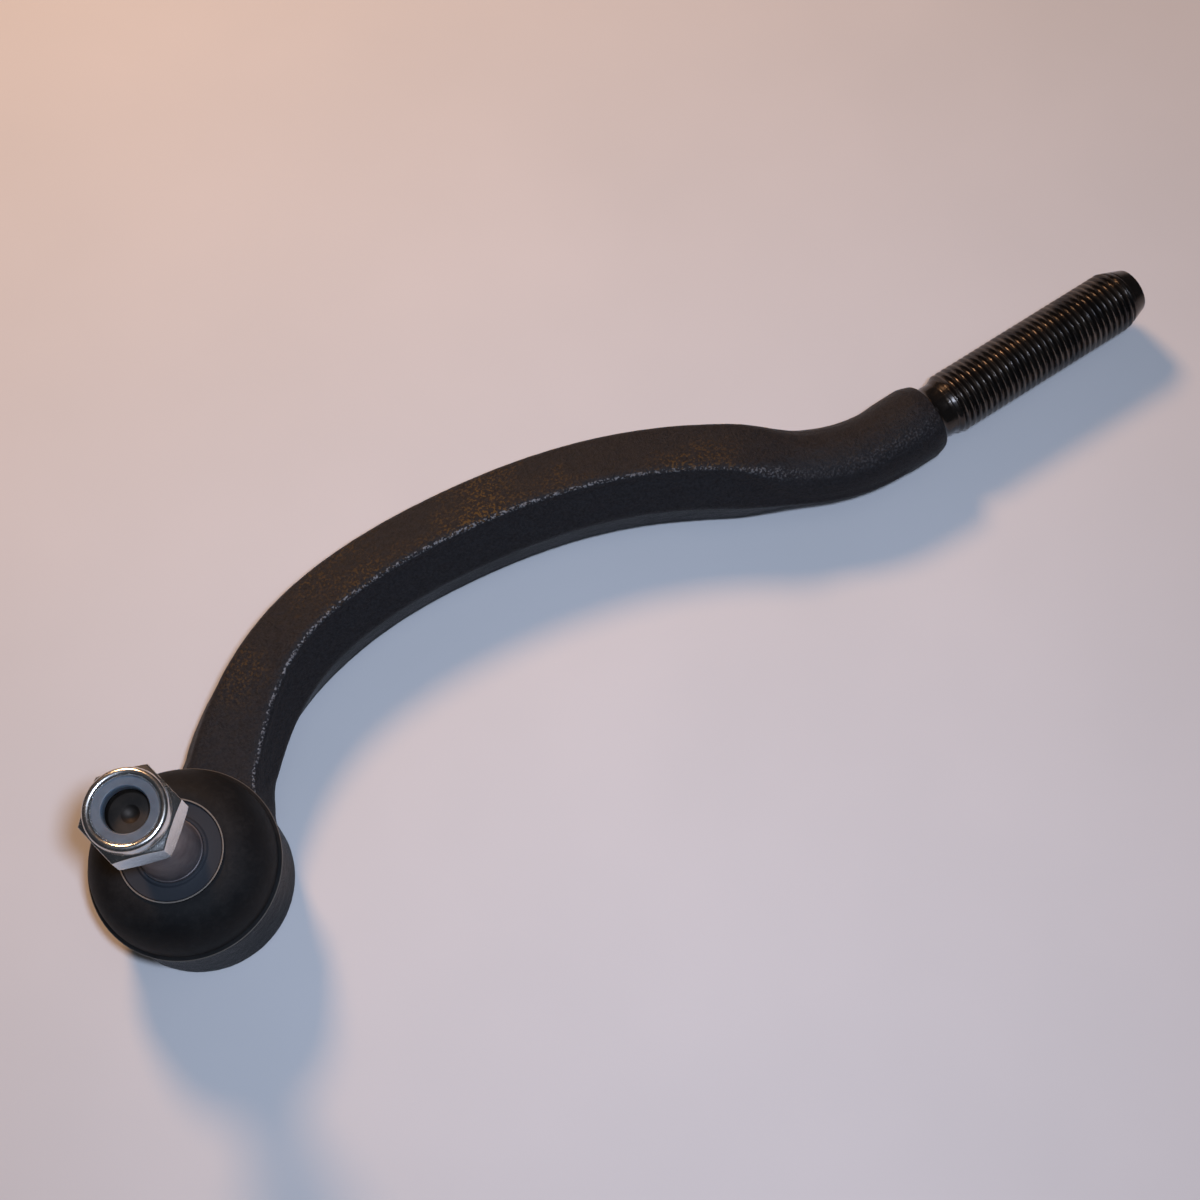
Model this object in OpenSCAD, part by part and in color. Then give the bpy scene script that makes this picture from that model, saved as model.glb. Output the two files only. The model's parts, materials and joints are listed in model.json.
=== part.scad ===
// Curved steering tie rod end: forged body, ball stud in plastic seats, rubber boot and lock nut.
// Origin: centre of the housing's base. +Z: up the stud. +X: from the ball to the threaded shank.

/* [Housing] */
// outside diameter of the round housing
housing_dia = 37; // [34:0.5:42]
// height of the shoulder that the rubber boot stands on
housing_height = 18.2; // [16:0.1:20]
// bore that holds the ball seats
seat_bore_dia = 26; // [24:0.5:28]
// neck of the housing that the boot is stretched over
spigot_dia = 30.4; // [28:0.2:32]
// top of that neck
spigot_top = 21.6; // [20:0.1:23]
// clear opening above the ball
mouth_dia = 20.8; // [20:0.2:22]

/* [Ball stud] */
// diameter of the ball
ball_dia = 20; // [18:0.5:21]
// height of the ball's centre above the base
ball_height = 13.5; // [12:0.1:15]
// taper diameter where it leaves the boot
taper_big_dia = 12; // [11:0.1:14]
// length of the taper
taper_length = 15; // [12:0.5:18]
// taper ratio, one in this much on the diameter
taper_ratio = 8; // [6:1:10]
// thread diameter of the stud
stud_thread_dia = 10; // [8:1:12]
// height of the stud's end
stud_top = 63.6; // [58:0.1:70]

/* [Lock nut] */
// distance across the nut's flats
nut_flats = 16; // [13:1:19]
// height of the nut's lower face
nut_base = 57.6; // [50:0.1:60]
// height of the hexagon
hex_height = 7.3; // [5:0.1:9]
// outside diameter of the round collar that holds the nylon ring
nut_collar_dia = 15.2; // [12:0.1:16]
// turn of the hexagon about the stud
nut_angle = -18; // [-30:1:30]
// whole height of the nut
nut_height = 10.2; // [8:0.1:12]
// hole in the nylon ring before the thread has cut into it
nylon_hole_dia = 8.2; // [8:0.1:9.6]

/* [Boot] */
// widest diameter of the boot, at its foot
boot_dia = 38; // [34:0.2:40]
// outside diameter of the flat top of the boot
boot_top_dia = 20.3; // [18:0.1:24]
// height of that flat top
boot_top = 32.6; // [29:0.1:35]
// thickness of the rubber wall
boot_wall = 1.3; // [0.8:0.1:2]

/* [Arm and shank] */
// height of the shank's axis above the base
axis_height = 11; // [9:0.5:13]
// sideways bow of the curved arm
arm_bow = 33; // [0:0.1:45]
// half the width of the forged arm at its parting line
arm_half_width = 9.2; // [7:0.1:10]
// half the height of the forged arm
arm_half_height = 9.6; // [6:0.1:9.6]
// corner radius of the arm's section
arm_corner = 2; // [1:0.1:5]
// lean of the arm's section in the middle of its length
arm_lean = 16; // [0:1:20]
// forging draft on the arm's sides
arm_draft = 17; // [0:0.5:18]
// diameter of the round collar at the end of the arm
collar_dia = 16.9; // [15:0.1:20]
// distance from the ball to the end of that collar
collar_end = 182.3; // [150:0.2:220]
// thread diameter of the shank
shank_dia = 14; // [12:1:18]
// diameter of the plain neck behind the shank's thread
neck_dia = 12.2; // [10:0.1:16]
// distance from the ball to where the thread starts
thread_start = 187.6; // [160:0.1:230]
// distance from the ball to the tip of the shank
shank_tip = 238.6; // [180:0.2:260]

/* [Hidden] */
$fn = 96;

// housing
housing_r = housing_dia / 2;
bore_r = seat_bore_dia / 2;
spigot_r = spigot_dia / 2;
mouth_r = mouth_dia / 2;
base_chamfer = 0.9;
shoulder_chamfer = 1;
cover_r = 14.6;
cover_seat = 3;
cover_lip = 1;
cover_lip_r = 13.4;
cover_boss_r = 8.4;
cover_gap = 0.05;
cover_sheet_top = 2;
cover_rise = 1;
cover_land = 0.6;
over = 1;
mouth_land = 0.7;
seat_roof = housing_height - 0.6;
spigot_wall = 1.8;

// ball and seats
ball_r = ball_dia / 2;
ball_flat = 8.2;
running_gap = 0.05;
seat_split = 0.1;
seat_floor = 4.22;
seat_drain_r = 5.2;
spring_r_in = 5.8;
spring_r_out = 11.5;
spring_sheet = 0.6;
spring_cone = 0.5;

// stud
taper_start = 33.1;
taper_big_r = taper_big_dia / 2;
taper_small_r = taper_big_r - taper_length / taper_ratio / 2;
taper_end = taper_start + taper_length;
seal_r = 6.2;
seal_start = 28.4;
waist_r = 5.6;
waist_low = 23;
waist_high = 26;
root_r = 6.4;
root_height = ball_height + 6.8;
stud_r = stud_thread_dia / 2;
undercut_r = stud_r - 0.6;
undercut = 1.6;
undercut_slope = 0.4;
thread_chamfer = 0.6;
seal_edge = 0.2;
stud_chamfer = 0.9;
dimple_r = 1.6;
dimple_depth = 1.4;

// nut
nut_bore_r = stud_r + 0.04;
nut_chamfer = 0.7;
collar_r = nut_collar_dia / 2;
collar_round = 1;
nylon_gap = 0.05;
nylon_r = 6.3;
nylon_seat_r = 6.35;
nylon_base = nut_base + hex_height + nylon_gap;
nylon_height = 2.2;
crimp_r = 5.9;
hex_low_edge = [0.2, 0.9];
hex_high_edge = [0.3, 1];
corner_spare = 0.1;

// boot
boot_r = boot_dia / 2;
boot_top_r = boot_top_dia / 2;
boot_foot = housing_height + 0.05;
boot_rim_low = boot_foot + 0.9;
boot_rim_high = boot_foot + 2;
boot_neck_r = seal_r + running_gap;
boot_neck_base = boot_top - 2.5;
boot_steps = 10;
dome_base = boot_rim_high + 0.7;
dome_base_r = boot_r - 0.7;
dome_top = boot_top - 0.5;
foot_edge = 0.5;
lip_width = 0.6;
lip_slope = 0.3;
lip_depth = 0.4;
seal_lip_depth = 0.3;
heel_width = 0.9;
heel_drop = 0.6;
ring_gap = 0.03;
foot_ring_in = 16.1;
foot_ring_out = 16.9;
foot_ring_top = boot_foot + 1.9;
neck_ring_in = 7.5;
neck_ring_out = 8.4;
neck_ring_top = boot_neck_base + 1.6;

// arm and shank
collar_r_x = collar_dia / 2;
shank_r = shank_dia / 2;
neck_r = neck_dia / 2;
collar_start = 170;
collar_blend = 2.5;
collar_start_in = 0.3;
collar_edge = 0.6;
neck_fillet = 0.6;
thread_lead = 1;
tip_cone = 5.2;
tip_r = 5.1;
corner_steps = 5;
near_steps = 12;
far_steps = 26;
arm_root = [9.5, 8.5];
end_draft = 1;
end_shrink = 0.15;
end_corner = 8;
root_half_height = 7;
root_widening = 0.3;
root_flare = 2.5;
root_flare_end = 16;
root_end = 44;
far_widening = 0.3;
far_start = 60;
far_end = 135;
lean_start = 12;
lean_full = 50;
lean_fade = 130;
lean_end = 168;
round_start = 139;
round_end = 153.2;
join_slope = 0.07;
join_x = 75;
root_pull_x = 17.9;
root_pull_share = 0.44;
near_pull_x = 29;
far_pull_x = 137.2;
straight_pull_x = 143.2;
arm_end_x = 171.4;
// control points of the arm's two centreline curves, which share one tangent where they meet
near_curve = [arm_root, [root_pull_x, root_pull_share * arm_bow],
              [near_pull_x, arm_bow + join_slope * (join_x - near_pull_x)], [join_x, arm_bow]];
far_curve = [[join_x, arm_bow], [far_pull_x, arm_bow - join_slope * (far_pull_x - join_x)],
             [straight_pull_x, 0], [arm_end_x, 0]];

// a point, and the direction, of a four-point curve
function curve_point(c, t) =
    pow(1 - t, 3) * c[0] + 3 * pow(1 - t, 2) * t * c[1] + 3 * (1 - t) * t * t * c[2] + pow(t, 3) * c[3];
function curve_slope(c, t) =
    pow(1 - t, 2) * (c[1] - c[0]) + 2 * (1 - t) * t * (c[2] - c[1]) + t * t * (c[3] - c[2]);
function unit(v) = v / norm(v);
function smooth(a, b, x) = let (t = min(1, max(0, (x - a) / (b - a)))) t * t * (3 - 2 * t);
function mix(a, b, t) = a + (b - a) * t;

// one rounded corner of the arm's section
function corner(cx, cy, r, start) =
    [for (k = [0:corner_steps]) let (a = start + 90 * k / corner_steps) [cx + r * cos(a), cy + r * sin(a)]];

// the arm's section: drafted sides that meet at the parting line, and four round corners
function arm_section(half_w, half_h, r, draft) =
    let (a = half_w - half_h * tan(draft))
    concat(corner(a - r, half_h - r, r, 0), corner(r - a, half_h - r, r, 90), [[-half_w, 0]],
           corner(r - a, r - half_h, r, 180), corner(a - r, r - half_h, r, 270), [[half_w, 0]]);

// size of the section at a distance x along the shank's axis
function section_at(x) =
    let (to_round = smooth(round_start, round_end, x), from_root = smooth(arm_root[0], root_end, x))
    let (grow = root_widening * (1 - from_root) + far_widening * smooth(far_start, far_end, x)
                + root_flare * (1 - smooth(arm_root[0], root_flare_end, x)))
    arm_section(mix(arm_half_width + grow, collar_r_x - end_shrink, to_round),
                mix(mix(root_half_height, arm_half_height, from_root), collar_r_x - end_shrink, to_round),
                mix(arm_corner, end_corner, to_round),
                mix(arm_draft, end_draft, to_round));
function lean_at(x) = arm_lean * smooth(lean_start, lean_full, x) * (1 - smooth(lean_fade, lean_end, x));

// one ring of the arm's skin at a point of its centreline
function ring_at(p, d) =
    let (lean = lean_at(p[0]), side = [-d[1], d[0]])
    [for (q = section_at(p[0]))
        let (u = q[0] * cos(lean) + q[1] * sin(lean), v = q[1] * cos(lean) - q[0] * sin(lean))
        [p[0] + side[0] * u, p[1] + side[1] * u, axis_height + v]];

rings = concat(
    [for (k = [0:near_steps - 1]) let (t = k / near_steps)
        ring_at(curve_point(near_curve, t), unit(curve_slope(near_curve, t)))],
    [for (k = [0:far_steps]) let (t = k / far_steps)
        ring_at(curve_point(far_curve, t), unit(curve_slope(far_curve, t)))]);
ring_size = len(rings[0]);
ring_count = len(rings);

module arm() {
    skin = [for (ring = rings) for (p = ring) p];
    walls = [for (i = [0:ring_count - 2]) for (j = [0:ring_size - 1])
        let (a = i * ring_size + j, b = i * ring_size + (j + 1) % ring_size)
        for (f = [[a, b + ring_size, b], [a, a + ring_size, b + ring_size]]) f];
    near_cap = [for (j = [0:ring_size - 1]) j];
    far_cap = [for (j = [0:ring_size - 1]) ring_count * ring_size - 1 - j];
    polyhedron(points = skin, faces = concat(walls, [near_cap], [far_cap]), convexity = 6);
}

// round end of the arm, plain neck and shank; the thread is a plain cylinder of its outside diameter
module shank() {
    translate([0, 0, axis_height])
    rotate([0, 90, 0])
    rotate_extrude()
    polygon([[0, collar_start], [collar_r_x - collar_start_in, collar_start],
             [collar_r_x, collar_start + collar_blend],
             [collar_r_x, collar_end - collar_edge], [collar_r_x - collar_edge, collar_end],
             [neck_r + neck_fillet, collar_end], [neck_r, collar_end + neck_fillet],
             [neck_r, thread_start - thread_lead], [shank_r, thread_start],
             [shank_r, shank_tip - tip_cone], [tip_r, shank_tip], [0, shank_tip]]);
}

// the closed shape of the housing, without the spaces inside it
module housing_blank() {
    rotate_extrude()
    polygon([[0, 0], [housing_r - base_chamfer, 0], [housing_r, base_chamfer],
             [housing_r, housing_height - shoulder_chamfer],
             [housing_r - shoulder_chamfer, housing_height],
             [spigot_r, housing_height], [spigot_r, spigot_top], [0, spigot_top]]);
}

// everything that is open inside the housing: cover seat, seat bore, mouth and flare
module housing_space() {
    rotate_extrude()
    polygon([[0, -over], [cover_lip_r, -over], [cover_lip_r, cover_lip], [cover_r, cover_lip],
             [cover_r, cover_seat], [bore_r, cover_seat], [bore_r, seat_roof],
             [mouth_r, seat_roof], [mouth_r, seat_roof + mouth_land],
             [spigot_r - spigot_wall, spigot_top], [spigot_r - spigot_wall, spigot_top + over],
             [0, spigot_top + over]]);
}

// one steel forging: housing, curved arm, collar and threaded shank
module forged_body() {
    color([0.09, 0.09, 0.1])
    difference() {
        union() {
            housing_blank();
            arm();
            shank();
        }
        housing_space();
    }
}

// pressed steel disc that closes the housing from below, held by the rolled edge
module cover_plate() {
    color([0.2, 0.2, 0.21])
    rotate_extrude()
    polygon([[0, 0], [cover_boss_r, 0], [cover_boss_r + cover_rise, cover_lip + cover_gap],
             [cover_r - cover_gap, cover_lip + cover_gap], [cover_r - cover_gap, cover_seat - cover_gap],
             [cover_boss_r - cover_land, cover_seat - cover_gap],
             [cover_boss_r - cover_land - cover_rise, cover_sheet_top], [0, cover_sheet_top]]);
}

// coned spring washer that presses the lower seat against the ball
module preload_spring() {
    color([0.55, 0.55, 0.58])
    rotate_extrude()
    polygon([[spring_r_in, cover_seat + spring_cone], [spring_r_out, cover_seat],
             [spring_r_out, cover_seat + spring_sheet],
             [spring_r_in, cover_seat + spring_cone + spring_sheet]]);
}

// plastic cup under the ball
module lower_ball_seat() {
    color([0.85, 0.84, 0.78])
    difference() {
        translate([0, 0, seat_floor])
            cylinder(h = ball_height - seat_split - seat_floor, r = bore_r - running_gap);
        translate([0, 0, ball_height]) sphere(r = ball_r + running_gap);
        cylinder(h = ball_height, r = seat_drain_r);
    }
}

// plastic ring above the ball, held under the housing's shoulder
module upper_ball_seat() {
    color([0.85, 0.84, 0.78])
    difference() {
        translate([0, 0, ball_height + seat_split])
            cylinder(h = seat_roof - cover_gap - ball_height - seat_split, r = bore_r - running_gap);
        translate([0, 0, ball_height]) sphere(r = ball_r + running_gap);
    }
}

// ball, waist, sealing land, taper and threaded end in one piece
module ball_stud() {
    color([0.62, 0.61, 0.6])
    union() {
        difference() {
            translate([0, 0, ball_height]) sphere(r = ball_r);
            translate([-ball_r, -ball_r, ball_height - ball_flat - ball_r])
                cube([ball_dia, ball_dia, ball_r]);
        }
        rotate_extrude()
        polygon([[0, ball_height], [root_r, ball_height], [root_r, root_height], [waist_r, waist_low],
                 [waist_r, waist_high], [seal_r, seal_start], [seal_r, taper_start - seal_edge],
                 [taper_big_r, taper_start], [taper_small_r, taper_end],
                 [undercut_r, taper_end + undercut_slope], [undercut_r, taper_end + undercut],
                 [stud_r, taper_end + undercut + thread_chamfer], [stud_r, stud_top - stud_chamfer],
                 [stud_r - stud_chamfer, stud_top], [dimple_r, stud_top],
                 [0, stud_top - dimple_depth]]);
    }
}

// outside of the boot's dome, and its inside one wall thickness further in
function dome(shift) =
    [for (k = [0:boot_steps]) let (a = 90 * k / boot_steps)
        [boot_top_r - shift + (dome_base_r - boot_top_r) * cos(a),
         dome_base + (dome_top - dome_base - shift) * sin(a)]];

// rubber boot from the housing's shoulder to the stud's sealing land
module boot() {
    inner = dome(boot_wall);
    color([0.03, 0.03, 0.03])
    rotate_extrude()
    polygon(concat(
        [[spigot_r + ring_gap, boot_foot], [foot_ring_in - ring_gap, boot_foot],
         [foot_ring_in - ring_gap, foot_ring_top], [foot_ring_out + ring_gap, foot_ring_top],
         [foot_ring_out + ring_gap, boot_foot], [boot_r - foot_edge, boot_foot],
         [boot_r, boot_rim_low], [boot_r, boot_rim_high]],
        dome(0),
        [[boot_top_r, boot_top], [boot_top_r - lip_width, boot_top],
         [boot_top_r - lip_width - lip_slope, boot_top - lip_depth],
         [boot_neck_r + lip_width, boot_top - seal_lip_depth], [boot_neck_r, boot_top],
         [boot_neck_r, boot_neck_base], [neck_ring_in - ring_gap, boot_neck_base],
         [neck_ring_in - ring_gap, neck_ring_top], [neck_ring_out + ring_gap, neck_ring_top],
         [neck_ring_out + ring_gap, boot_neck_base]],
        [for (k = [0:boot_steps]) inner[boot_steps - k]],
        [[spigot_r + heel_width, dome_base], [spigot_r + ring_gap, dome_base - heel_drop]]));
}

// steel ring moulded under the foot of the boot
module boot_foot_ring() {
    color([0.45, 0.45, 0.47])
    translate([0, 0, boot_foot])
    difference() {
        cylinder(h = foot_ring_top - ring_gap - boot_foot, r = foot_ring_out);
        translate([0, 0, -over]) cylinder(h = foot_ring_top - boot_foot + 2 * over, r = foot_ring_in);
    }
}

// steel ring that keeps the boot's top pressed against the stud
module boot_neck_ring() {
    color([0.45, 0.45, 0.47])
    translate([0, 0, boot_neck_base])
    difference() {
        cylinder(h = neck_ring_top - ring_gap - boot_neck_base, r = neck_ring_out);
        translate([0, 0, -over]) cylinder(h = neck_ring_top - boot_neck_base + 2 * over, r = neck_ring_in);
    }
}

// hexagon and round collar, crimped over the nylon ring
module nut_body() {
    corner_r = nut_flats / 2 / cos(30);
    color([0.8, 0.8, 0.82])
    difference() {
        union() {
            intersection() {
                translate([0, 0, nut_base])
                    rotate([0, 0, nut_angle]) cylinder(h = hex_height, r = corner_r, $fn = 6);
                rotate_extrude()
                polygon([[0, nut_base], [nut_flats / 2 - hex_low_edge[0], nut_base],
                         [corner_r + corner_spare, nut_base + hex_low_edge[1]],
                         [corner_r + corner_spare, nut_base + hex_height - hex_high_edge[1]],
                         [nut_flats / 2 - hex_high_edge[0], nut_base + hex_height],
                         [0, nut_base + hex_height]]);
            }
            rotate_extrude()
            polygon([[0, nut_base + over], [collar_r, nut_base + over],
                     [collar_r, nut_base + nut_height - collar_round],
                     [collar_r - collar_round * 0.3, nut_base + nut_height - collar_round * 0.3],
                     [collar_r - collar_round, nut_base + nut_height], [0, nut_base + nut_height]]);
        }
        rotate_extrude()
        polygon([[0, nut_base - over], [nut_bore_r + nut_chamfer + over, nut_base - over],
                 [nut_bore_r, nut_base + nut_chamfer],
                 [nut_bore_r, nylon_base - nylon_gap], [nylon_seat_r, nylon_base - nylon_gap],
                 [nylon_seat_r, nylon_base + nylon_height + nylon_gap],
                 [crimp_r, nylon_base + nylon_height + nylon_gap],
                 [crimp_r, nut_base + nut_height + over], [0, nut_base + nut_height + over]]);
    }
}

// nylon ring that grips the thread
module nut_nylon_ring() {
    color([0.35, 0.45, 0.55])
    translate([0, 0, nylon_base])
    difference() {
        cylinder(h = nylon_height, r = nylon_r);
        translate([0, 0, -over]) cylinder(h = nylon_height + 2 * over, d = nylon_hole_dia);
    }
}

forged_body();
cover_plate();
preload_spring();
lower_ball_seat();
upper_ball_seat();
ball_stud();
boot();
boot_foot_ring();
boot_neck_ring();
nut_body();
nut_nylon_ring();
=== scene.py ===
import json
import math

import bmesh
import bpy
import numpy as np
from mathutils import Matrix, Vector, noise


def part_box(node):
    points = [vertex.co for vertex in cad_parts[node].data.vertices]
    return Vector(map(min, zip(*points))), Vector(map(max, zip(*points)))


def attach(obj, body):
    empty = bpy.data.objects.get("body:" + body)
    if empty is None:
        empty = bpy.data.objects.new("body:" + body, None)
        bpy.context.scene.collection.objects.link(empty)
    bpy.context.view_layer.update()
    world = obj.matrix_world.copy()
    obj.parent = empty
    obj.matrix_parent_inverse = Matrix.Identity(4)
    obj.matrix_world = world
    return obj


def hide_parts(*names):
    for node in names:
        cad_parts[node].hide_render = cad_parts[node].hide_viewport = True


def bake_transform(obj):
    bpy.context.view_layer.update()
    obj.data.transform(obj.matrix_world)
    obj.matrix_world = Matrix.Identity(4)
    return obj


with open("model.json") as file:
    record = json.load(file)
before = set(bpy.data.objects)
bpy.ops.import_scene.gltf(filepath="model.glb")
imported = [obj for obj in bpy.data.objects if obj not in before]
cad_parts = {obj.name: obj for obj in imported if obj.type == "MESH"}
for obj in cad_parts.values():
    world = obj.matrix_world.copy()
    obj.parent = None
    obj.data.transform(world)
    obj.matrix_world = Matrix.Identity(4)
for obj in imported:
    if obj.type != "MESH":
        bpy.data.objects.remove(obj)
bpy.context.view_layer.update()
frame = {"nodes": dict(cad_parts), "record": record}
MM = 0.001

# ---------------------------------------------------------------- sizes, in metres
# read off the CAD model
foot_low, foot_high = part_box("boot")
nut_low, nut_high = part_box("nut_body")
nylon_low, nylon_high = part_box("nut_nylon_ring")
body_low, body_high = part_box("forged_body")
plate_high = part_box("cover_plate")[1]
stud_low, stud_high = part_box("ball_stud")
joint_at = {joint["name"]: joint.get("pos_m") for joint in frame["record"]["behaviour"]["joints"]}
BALL_HEIGHT = joint_at["stud_lean"][2]

# housing
HOUSING_R = -body_low[0]
HOUSING_TOP = foot_low[2] - 0.05 * MM
SPIGOT_TOP = 21.6 * MM
SPIGOT_R = 15.2 * MM
SPIGOT_WALL = 1.8 * MM
MOUTH_R = 10.4 * MM
SEAT_ROOF = HOUSING_TOP - 0.6 * MM
BORE_R = 13 * MM
COVER_R = 14.6 * MM
COVER_SEAT = 3 * MM
COVER_LIP = 1 * MM
COVER_LIP_R = 13.4 * MM

# arm and shank
AXIS_HEIGHT = 11 * MM
ARM_BOW = 33 * MM
COLLAR_R = 8.45 * MM
COLLAR_START = 170 * MM
COLLAR_END = 182.3 * MM
NECK_R = 6.1 * MM
ROOT_START = 9.5 * MM
ROOT_FLARE_END = 16 * MM
ROOT_END = 44 * MM
ROUND_START = 139 * MM
ROUND_END = 153.2 * MM
ARM_HALF_WIDTH = 9.2 * MM
ARM_HALF_HEIGHT = 9.6 * MM
ROOT_HALF_HEIGHT = 7 * MM
ROUND_HALF = 8.3 * MM
ARM_CORNER = 2.0 * MM
ROUND_CORNER = 8.0 * MM
ARM_DRAFT = 17  # degrees
ARM_LEAN = 16  # degrees
SHANK_R = 7 * MM
SHANK_PITCH = 1.5 * MM
THREAD_START = 187.6 * MM
SHANK_TIP = body_high[0]
TIP_CONE = 5.2 * MM
TIP_R = 5.1 * MM

# ball stud and nut
TAPER_START = 33.1 * MM
TAPER_END = 48.1 * MM
TAPER_BIG_R = 6 * MM
TAPER_SMALL_R = 5.06 * MM
SEAL_R = 6.2 * MM
SEAL_START = 28.6 * MM
WAIST_R = 5.6 * MM
STUD_R = 5 * MM
STUD_PITCH = 1.25 * MM
STUD_TOP = stud_high[2]
NUT_FLATS = 16 * MM
NUT_ANGLE = -18  # degrees
HEX_TOP = nut_low[2] + 7.3 * MM
NUT_COLLAR_R = 7.6 * MM
CRIMP_R = 5.9 * MM
NYLON_SEAT_R = 6.35 * MM
NYLON_HOLE_R = 4.1 * MM

# boot
BOOT_TOP_R = 10.15 * MM
BOOT_WALL = 1.3 * MM
RIM_BACK = 0.7 * MM
DOME_RISE = 2.75 * MM
NECK_DEPTH = 2.5 * MM
FOOT_SLOT = (16.07 * MM, 16.93 * MM)  # the foot ring's groove, from and to this radius
NECK_SLOT = (7.47 * MM, 8.43 * MM)  # the neck ring's groove


# ---------------------------------------------------------------- mesh helpers
def smooth_step(a, b, x):
    t = np.clip((x - a) / (b - a), 0, 1)
    return t * t * (3 - 2 * t)


def link_mesh(name, verts, faces, crease=38):
    """A new object whose faces are smooth, with sharp edges above the crease angle."""
    mesh = bpy.data.meshes.new(name)
    mesh.from_pydata([tuple(v) for v in verts], [], [tuple(f) for f in faces])
    return finish_mesh(name, mesh, crease)


def finish_mesh(name, mesh, crease):
    tidy = bmesh.new()
    tidy.from_mesh(mesh)
    bmesh.ops.remove_doubles(tidy, verts=tidy.verts, dist=0.0005 * MM)
    bmesh.ops.recalc_face_normals(tidy, faces=tidy.faces)
    tidy.to_mesh(mesh)
    tidy.free()
    mesh.polygons.foreach_set("use_smooth", [True] * len(mesh.polygons))
    mesh.set_sharp_from_angle(angle=math.radians(crease))
    mesh.update()
    thing = bpy.data.objects.new(name, mesh)
    bpy.context.scene.collection.objects.link(thing)
    return thing


def rounded(points, steps=5):
    """A closed outline of (r, z, corner radius) points with each corner turned into an arc."""
    out = []
    count = len(points)
    for i, (r, z, radius) in enumerate(points):
        here = Vector((r, z))
        back = Vector(points[i - 1][:2]) - here
        ahead = Vector(points[(i + 1) % count][:2]) - here
        if radius <= 0 or back.length < 1e-9 or ahead.length < 1e-9:
            out.append(here)
            continue
        half = back.angle(ahead) / 2
        reach = min(radius / math.tan(half), 0.48 * back.length, 0.48 * ahead.length)
        start = here + back.normalized() * reach
        end = here + ahead.normalized() * reach
        for k in range(steps + 1):
            t = k / steps
            out.append(start.lerp(here, t).lerp(here.lerp(end, t), t))
    return out


def turned(name, outline, segments=160, crease=38):
    """A solid of revolution about Z from a closed outline of (r, z) points."""
    verts, rings = [], []
    for r, z in outline:
        count = 1 if r < 1e-7 else segments
        rings.append(range(len(verts), len(verts) + count))
        for k in range(count):
            a = 2 * math.pi * k / segments
            verts.append((r * math.cos(a), r * math.sin(a), z))
    faces = []
    for i, near in enumerate(rings):
        far = rings[(i + 1) % len(rings)]
        for k in range(segments):
            n = (k + 1) % segments
            corner = [near[k % len(near)], near[n % len(near)], far[n % len(far)], far[k % len(far)]]
            face = list(dict.fromkeys(corner))
            if len(face) > 2:
                faces.append(face)
    return link_mesh(name, verts, faces, crease)


def mark(thing, name, rule):
    """Stores on each vertex whether rule(distance from the Z axis, height) holds."""
    layer = thing.data.attributes.new(name, "FLOAT", "POINT")
    layer.data.foreach_set("value", [float(rule(math.hypot(v.co.x, v.co.y), v.co.z))
                                     for v in thing.data.vertices])


# axial place along one pitch, and depth there as a share of the whole depth, for a rolled thread
THREAD_FORM = [(0.0, 0.06), (0.03, 0.0), (0.095, 0.0), (0.125, 0.06), (0.24, 0.37), (0.36, 0.70),
               (0.46, 0.95), (0.50, 1.0), (0.62, 1.0), (0.67, 0.95), (0.76, 0.70), (0.88, 0.37)]


def screw(name, radius, pitch, low, high, low_end, high_end, limit, segments=96):
    """A shaft along Z with a helical thread from low to high. low_end and high_end are the (r, z)
    points that close it on either side, and limit(z) is the largest radius of the thread at z."""
    depth = 0.6134 * pitch
    per_turn = len(THREAD_FORM)
    turns = int((high - low) / pitch) + 3
    rows = turns * per_turn
    verts = []
    for i in range(rows + per_turn + 1):
        place, share = THREAD_FORM[i % per_turn]
        for m in range(segments):
            z = low + (i // per_turn - 2 + place + m / segments) * pitch
            z = min(max(z, low), high)
            r = min(radius - share * depth, limit(z))
            a = 2 * math.pi * m / segments
            verts.append((r * math.cos(a), r * math.sin(a), z))
    faces = []
    for i in range(rows):
        for m in range(segments):
            a, b = i * segments + m, (i + 1) * segments + m
            if m + 1 < segments:
                faces.append((a, a + 1, b + 1, b))
            else:
                faces.append((a, (i + per_turn) * segments, (i + per_turn + 1) * segments, b))
    mesh = bpy.data.meshes.new(name)
    mesh.from_pydata(verts, [], faces)
    work = bmesh.new()
    work.from_mesh(mesh)
    bmesh.ops.remove_doubles(work, verts=work.verts, dist=0.0005 * MM)
    loose = [v for v in work.verts if not v.link_faces]
    bmesh.ops.delete(work, geom=loose, context="VERTS")
    for end, path in ((low, low_end), (high, high_end)):
        rim = [e for e in work.edges if e.is_boundary and abs(e.verts[0].co.z - end) < 1e-7
               and abs(e.verts[1].co.z - end) < 1e-7]
        for r, z in path:
            grown = bmesh.ops.extrude_edge_only(work, edges=rim)["geom"]
            rim = [g for g in grown if isinstance(g, bmesh.types.BMEdge)]
            for v in (g for g in grown if isinstance(g, bmesh.types.BMVert)):
                flat = math.hypot(v.co.x, v.co.y)
                v.co = (v.co.x * r / flat, v.co.y * r / flat, z) if r > 0 else (0, 0, z)
            if r == 0:
                bmesh.ops.remove_doubles(work, verts=work.verts, dist=0.0005 * MM)
    work.to_mesh(mesh)
    work.free()
    return finish_mesh(name, mesh, 34)


def lay_along_shank(thing):
    """Turns a shaft made along Z to lie along the shank's axis."""
    turn = Matrix.Rotation(math.radians(90), 4, "Y")
    thing.data.transform(Matrix.Translation((0, 0, AXIS_HEIGHT)) @ turn)


# ---------------------------------------------------------------- forged body
def curve_point(c, t):
    """Place at t on the cubic curve with the four control points c."""
    return (1 - t) ** 3 * c[0] + 3 * (1 - t) ** 2 * t * c[1] + 3 * (1 - t) * t * t * c[2] + t ** 3 * c[3]


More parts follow.
